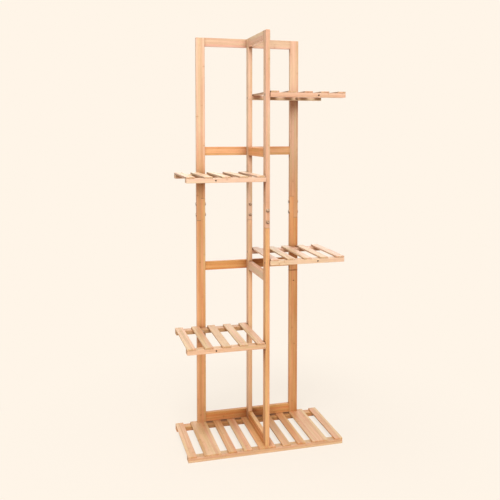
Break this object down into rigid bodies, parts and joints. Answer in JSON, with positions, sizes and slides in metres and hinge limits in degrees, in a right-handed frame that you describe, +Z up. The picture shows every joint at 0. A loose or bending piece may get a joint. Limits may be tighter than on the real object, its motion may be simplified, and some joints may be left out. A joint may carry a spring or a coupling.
{
  "type": "tiered plant stand",
  "caption": "Tiered plant stand with a slatted base shelf, two rail frames set at right angles, and half-width slatted shelves alternating left and right.",
  "frame": {"origin": "on the floor, under the middle of the base shelf", "axes": "+X to the right seen from the front, +Y to the back, +Z up"},
  "size_m": [0.483, 0.236, 1.2535],
  "materials": {
    "bamboo_frame": "clear satin lacquer on strip bamboo",
    "bamboo_bearer": "clear satin lacquer on strip bamboo",
    "bamboo_slat": "clear satin lacquer on strip bamboo",
    "zinc_steel": "zinc plated"
  },
  "bodies": {
    "root": {"base_front_bearer": "bamboo_bearer", "base_rear_bearer": "bamboo_bearer", "base_slat_left_1": "bamboo_slat", "base_slat_left_2": "bamboo_slat", "base_slat_left_end": "bamboo_slat", "base_slat_pair_centre": "bamboo_slat", "base_slat_pair_left": "bamboo_slat", "base_slat_pair_right": "bamboo_slat", "base_slat_right_1": "bamboo_slat", "base_slat_right_2": "bamboo_slat", "base_slat_right_end": "bamboo_slat", "centre_bottom_rail": "bamboo_frame", "centre_front_lower_upright": "bamboo_frame", "centre_front_upper_upright": "bamboo_frame", "centre_lower_rail": "bamboo_frame", "centre_rear_lower_upright": "bamboo_frame", "centre_rear_upper_upright": "bamboo_frame", "centre_top_rail": "bamboo_frame", "centre_upper_rail": "bamboo_frame", "countersunk_screws": "zinc_steel", "lower_left_front_bearer": "bamboo_bearer", "lower_left_rear_bearer": "bamboo_bearer", "lower_left_slat_1": "bamboo_slat", "lower_left_slat_2": "bamboo_slat", "lower_left_slat_3": "bamboo_slat", "lower_left_slat_4": "bamboo_slat", "lower_left_slat_5": "bamboo_slat", "middle_right_front_bearer": "bamboo_bearer", "middle_right_rear_bearer": "bamboo_bearer", "middle_right_slat_1": "bamboo_slat", "middle_right_slat_2": "bamboo_slat", "middle_right_slat_3": "bamboo_slat", "middle_right_slat_4": "bamboo_slat", "middle_right_slat_5": "bamboo_slat", "rear_bottom_rail": "bamboo_frame", "rear_left_lower_upright": "bamboo_frame", "rear_left_upper_upright": "bamboo_frame", "rear_lower_rail": "bamboo_frame", "rear_right_lower_upright": "bamboo_frame", "rear_right_upper_upright": "bamboo_frame", "rear_top_rail": "bamboo_frame", "rear_upper_rail": "bamboo_frame", "shelf_back_screws": "zinc_steel", "slat_pins": "zinc_steel", "splice_bolts": "zinc_steel", "splice_nuts": "zinc_steel", "top_right_front_bearer": "bamboo_bearer", "top_right_rear_bearer": "bamboo_bearer", "top_right_slat_1": "bamboo_slat", "top_right_slat_2": "bamboo_slat", "top_right_slat_3": "bamboo_slat", "top_right_slat_4": "bamboo_slat", "top_right_slat_5": "bamboo_slat", "upper_left_front_bearer": "bamboo_bearer", "upper_left_rear_bearer": "bamboo_bearer", "upper_left_slat_1": "bamboo_slat", "upper_left_slat_2": "bamboo_slat", "upper_left_slat_3": "bamboo_slat", "upper_left_slat_4": "bamboo_slat", "upper_left_slat_5": "bamboo_slat"}
  },
  "joints": []
}
